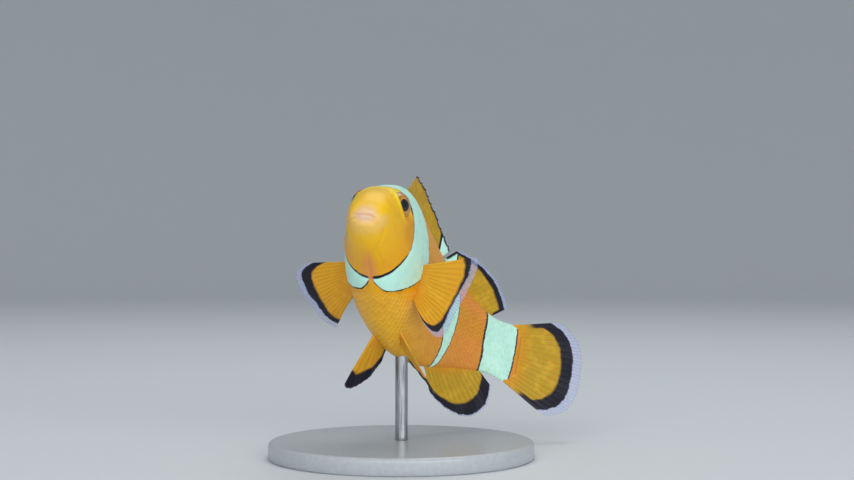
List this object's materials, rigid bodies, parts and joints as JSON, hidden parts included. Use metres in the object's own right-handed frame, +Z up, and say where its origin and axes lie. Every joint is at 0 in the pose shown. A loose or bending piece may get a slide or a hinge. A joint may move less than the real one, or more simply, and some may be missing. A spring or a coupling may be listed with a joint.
{
  "type": "clownfish model",
  "caption": "Life-size still model of an orange, white-banded clownfish, nose up with its tail swept to its left, on a plain disc stand with an upright rod.",
  "frame": {"origin": "centre of the stand's underside", "axes": "+Z up from the stand, -Y the way the fish's head faces, +X the side its tail sweeps to"},
  "size_m": [0.0618, 0.054, 0.0535],
  "materials": {
    "skin": "wet fish skin under fine scales, golden orange with three black-edged white bars",
    "fin": "thin ribbed fin, orange with a black margin and a clear edge",
    "eye": "glossy dark eye with an orange iris",
    "stand_base": "satin pale grey acrylic",
    "stand_rod": "brushed"
  },
  "bodies": {
    "root": {"head": "skin", "lower_jaw": "skin", "gill_cover_left": "skin", "gill_cover_right": "skin", "trunk_front": "skin", "trunk_rear": "skin", "tail_stalk": "skin", "dorsal_fin_front": "fin", "dorsal_fin_rear": "fin", "anal_fin": "fin", "tail_fin": "fin", "pectoral_fin_left": "fin", "pectoral_fin_right": "fin", "pelvic_fin_left": "fin", "pelvic_fin_right": "fin", "eye_left": "eye", "eye_right": "eye", "stand_base": "stand_base", "stand_rod": "stand_rod"}
  },
  "joints": []
}
